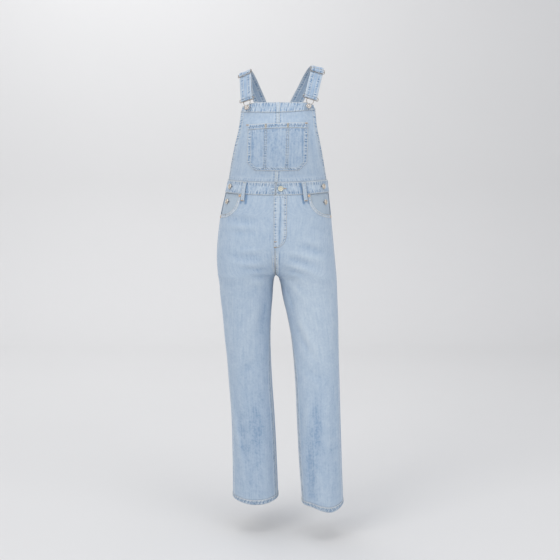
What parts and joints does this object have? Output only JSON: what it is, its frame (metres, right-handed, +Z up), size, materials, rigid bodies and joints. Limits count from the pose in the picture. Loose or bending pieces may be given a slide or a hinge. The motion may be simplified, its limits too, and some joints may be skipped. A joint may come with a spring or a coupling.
{
  "type": "denim dungarees",
  "caption": "Straight-legged denim dungarees in their hollow worn form, with a patch pocket on the bib, side button openings, belt loops and straps held by wire buckles.",
  "frame": {"origin": "level with the wearer's shoulders, midway between the two straps and midway between front and back", "axes": "+Z up, +X to the wearer's left, -Y out of the front"},
  "size_m": [0.4021, 0.2881, 1.3868],
  "materials": {
    "denim": "washed cotton twill",
    "denim_edge": "washed cotton twill, worn pale along its edges",
    "thread": "pale cotton thread",
    "buckle_steel": "satin nickel wire",
    "button_brass": "satin, pale brass",
    "rivet_copper": "satin copper"
  },
  "bodies": {
    "root": {"front_leg_R": "denim", "front_leg_L": "denim", "back_leg_R": "denim", "back_leg_L": "denim", "pocket_facing_R": "denim", "pocket_facing_L": "denim", "bib_R": "denim", "bib_L": "denim", "bib_pocket": "denim", "back_bib": "denim", "fly": "denim", "hem_R": "denim_edge", "hem_L": "denim_edge", "waistband_front_R": "denim_edge", "waistband_front_L": "denim_edge", "waistband_back": "denim_edge", "bib_band": "denim_edge", "bib_pocket_hem": "denim_edge", "centre_seam_band": "denim_edge", "centre_seam_upper": "denim_edge", "centre_seam_lower": "denim_edge", "strap_R": "denim_edge", "strap_L": "denim_edge", "belt_loop_front_R": "denim_edge", "belt_loop_front_L": "denim_edge", "belt_loop_back_R": "denim_edge", "belt_loop_back_L": "denim_edge", "belt_loop_back_centre": "denim_edge", "slider_R": "buckle_steel", "slider_L": "buckle_steel", "buckle_R": "buckle_steel", "buckle_L": "buckle_steel", "bib_button_R": "button_brass", "bib_button_L": "button_brass", "waist_button_R": "button_brass", "waist_button_L": "button_brass", "hip_button_R": "button_brass", "hip_button_L": "button_brass", "fly_button": "button_brass", "rivet_upper_R": "rivet_copper", "rivet_upper_L": "rivet_copper", "rivet_lower_R": "rivet_copper", "rivet_lower_L": "rivet_copper"}
  },
  "joints": []
}
